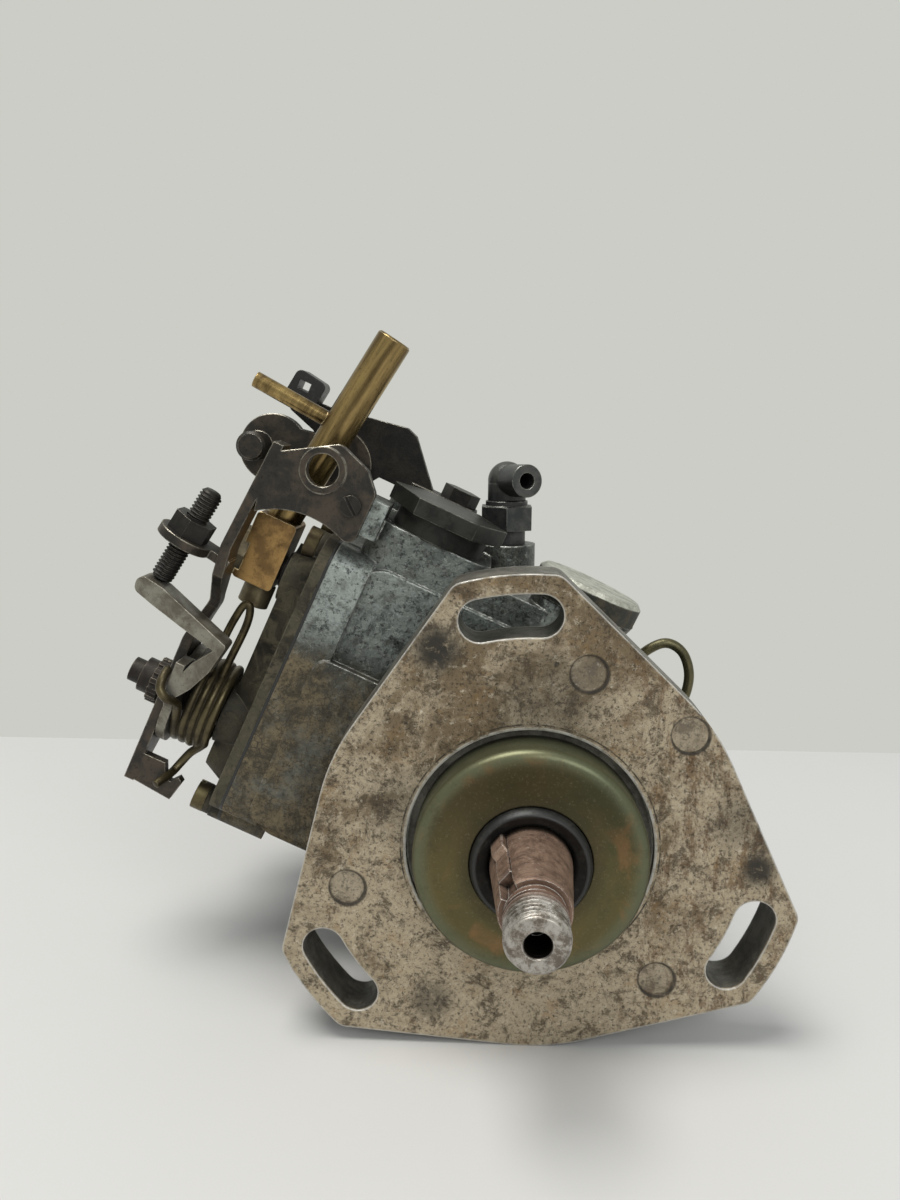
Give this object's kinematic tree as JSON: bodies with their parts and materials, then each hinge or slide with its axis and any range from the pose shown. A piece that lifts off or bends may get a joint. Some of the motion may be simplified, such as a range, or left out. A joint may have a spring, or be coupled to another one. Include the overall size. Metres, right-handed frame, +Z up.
{
  "type": "diesel injection pump",
  "caption": "Rotary distributor injection pump for a diesel engine: three-slot drive flange, tapered keyed shaft, governor box with throttle and stop levers, radial fuel outlets.",
  "frame": {"origin": "centre of the mounting flange's front face, on the drive shaft axis", "axes": "-Y along the drive shaft out of the front, +Z up as the pump lies on its flange, so its own upright direction leans 24.6 degrees about Y"},
  "size_m": [0.1768, 0.1965, 0.1768],
  "materials": {
    "cast_aluminium": "rough cast",
    "zinc_yellow": "yellow passivated",
    "seal_rubber": "matt",
    "shaft_steel": "machined, light rust",
    "bronze": "machined",
    "brass": "tarnished",
    "dark_steel": "blackened, oily",
    "worn_steel": "plated, worn",
    "spring_steel": "bronzed",
    "inner_steel": "ground",
    "head_steel": "oiled",
    "solenoid_case": "zinc, dulled",
    "clip_plastic": "matt black"
  },
  "bodies": {
    "housing": {"advance_cap_nut": "worn_steel", "advance_caps": "worn_steel", "advance_spring": "spring_steel", "bracket_fasteners": "worn_steel", "cable_clip": "clip_plastic", "delivery_valve_holders": "worn_steel", "delivery_valves": "inner_steel", "drive_bush": "bronze", "dust_cover": "zinc_yellow", "end_plate": "head_steel", "governor_arm_pin": "inner_steel", "governor_spring": "spring_steel", "head_and_end_screws": "worn_steel", "hydraulic_head": "head_steel", "inlet_union": "worn_steel", "inspection_plug": "worn_steel", "pump_housing": "cast_aluminium", "rear_bracket": "dark_steel", "regulating_valve": "worn_steel", "return_elbow": "worn_steel", "return_union": "worn_steel", "shaft_oil_seal": "seal_rubber", "side_cover": "cast_aluminium", "side_cover_gasket": "seal_rubber", "side_cover_screws": "worn_steel", "stop_screw": "dark_steel", "stop_screw_locknut": "worn_steel", "stop_solenoid": "solenoid_case", "throttle_bracket": "dark_steel", "throttle_return_spring": "spring_steel", "top_cap": "cast_aluminium", "transfer_pump_liner": "inner_steel", "wire_clip": "zinc_yellow"},
    "drive": {"drive_shaft": "shaft_steel", "shaft_key": "shaft_steel", "governor_weight_cage": "inner_steel", "governor_weights": "inner_steel", "distributor_rotor": "inner_steel", "pumping_plungers": "inner_steel", "roller_shoes": "inner_steel", "cam_rollers": "inner_steel", "transfer_pump_rotor": "inner_steel", "transfer_pump_vanes": "inner_steel"},
    "thrust_sleeve": {"governor_thrust_sleeve": "inner_steel"},
    "governor_arm": {"governor_arm": "inner_steel"},
    "governor_link": {"governor_link": "inner_steel"},
    "metering_valve": {"metering_valve": "inner_steel"},
    "cam": {"cam_ring": "inner_steel", "cam_advance_screw": "inner_steel"},
    "advance_piston": {"advance_piston": "inner_steel"},
    "solenoid_plunger": {"solenoid_plunger": "inner_steel"},
    "throttle": {"throttle_spindle": "dark_steel", "throttle_lever": "worn_steel", "spindle_nut": "worn_steel"},
    "stop_lever": {"stop_lever_spindle": "dark_steel", "stop_lever_hub": "brass", "stop_lever_rod": "brass", "spring_collar": "brass", "stop_lever_nut": "worn_steel"},
    "idle_lever": {"idle_lever": "dark_steel"}
  },
  "joints": [
    {"name": "drive_spin", "type": "hinge", "parent": "housing", "child": "drive", "pos_m": [0, 0, 0], "axis": [0, -1, 0], "continuous": true},
    {"name": "sleeve_slide", "type": "slide", "parent": "drive", "child": "thrust_sleeve", "axis": [0, 1, 0], "range_m": [0, 0.004]},
    {"name": "governor_arm_swing", "type": "hinge", "parent": "housing", "child": "governor_arm", "pos_m": [-0.03819, 0.0464, 0.01748], "axis": [0.4163, 0, 0.9092], "range_deg": [0, 8.3], "deforming": ["governor_spring"]},
    {"name": "governor_link_slide", "type": "slide", "parent": "housing", "child": "governor_link", "axis": [0, -1, 0], "range_m": [0, 0.0024]},
    {"name": "metering_turn", "type": "hinge", "parent": "housing", "child": "metering_valve", "pos_m": [-0.02311, 0.084, 0.02158], "axis": [-0.9092, 0, 0.4163], "range_deg": [0, 13.5]},
    {"name": "cam_turn", "type": "hinge", "parent": "housing", "child": "cam", "pos_m": [0, 0, 0], "axis": [0, 1, 0], "range_deg": [0, 6]},
    {"name": "advance_slide", "type": "slide", "parent": "housing", "child": "advance_piston", "axis": [-0.9092, 0, 0.4163], "range_m": [0, 0.0041], "deforming": ["advance_spring"]},
    {"name": "solenoid_lift", "type": "slide", "parent": "housing", "child": "solenoid_plunger", "axis": [0.999, 0, -0.0454], "range_m": [0, 0.0025], "stiffness_N_per_m": 150},
    {"name": "throttle_swing", "type": "hinge", "parent": "housing", "child": "throttle", "pos_m": [-0.098, 0.044, 0.02617], "axis": [0.9092, 0, -0.4163], "range_deg": [0, 25], "stiffness_Nm_per_rad": 0.3, "springref_deg": -11.46, "deforming": ["throttle_return_spring"]},
    {"name": "stop_swing", "type": "hinge", "parent": "housing", "child": "stop_lever", "pos_m": [-0.07241, 0.046, 0.06285], "axis": [-0.9092, 0, 0.4163], "range_deg": [0, 18]},
    {"name": "idle_swing", "type": "hinge", "parent": "housing", "child": "idle_lever", "pos_m": [-0.05629, 0.07, 0.08846], "axis": [0, -1, 0], "range_deg": [-12, 12]}
  ],
  "couplings": [
    {"joint": "governor_arm_swing", "follows": "sleeve_slide", "rad_per_m": 36},
    {"joint": "governor_link_slide", "follows": "sleeve_slide", "ratio": 0.576},
    {"joint": "metering_turn", "follows": "sleeve_slide", "rad_per_m": 57.6},
    {"joint": "advance_slide", "follows": "cam_turn", "m_per_rad": 0.038}
  ]
}
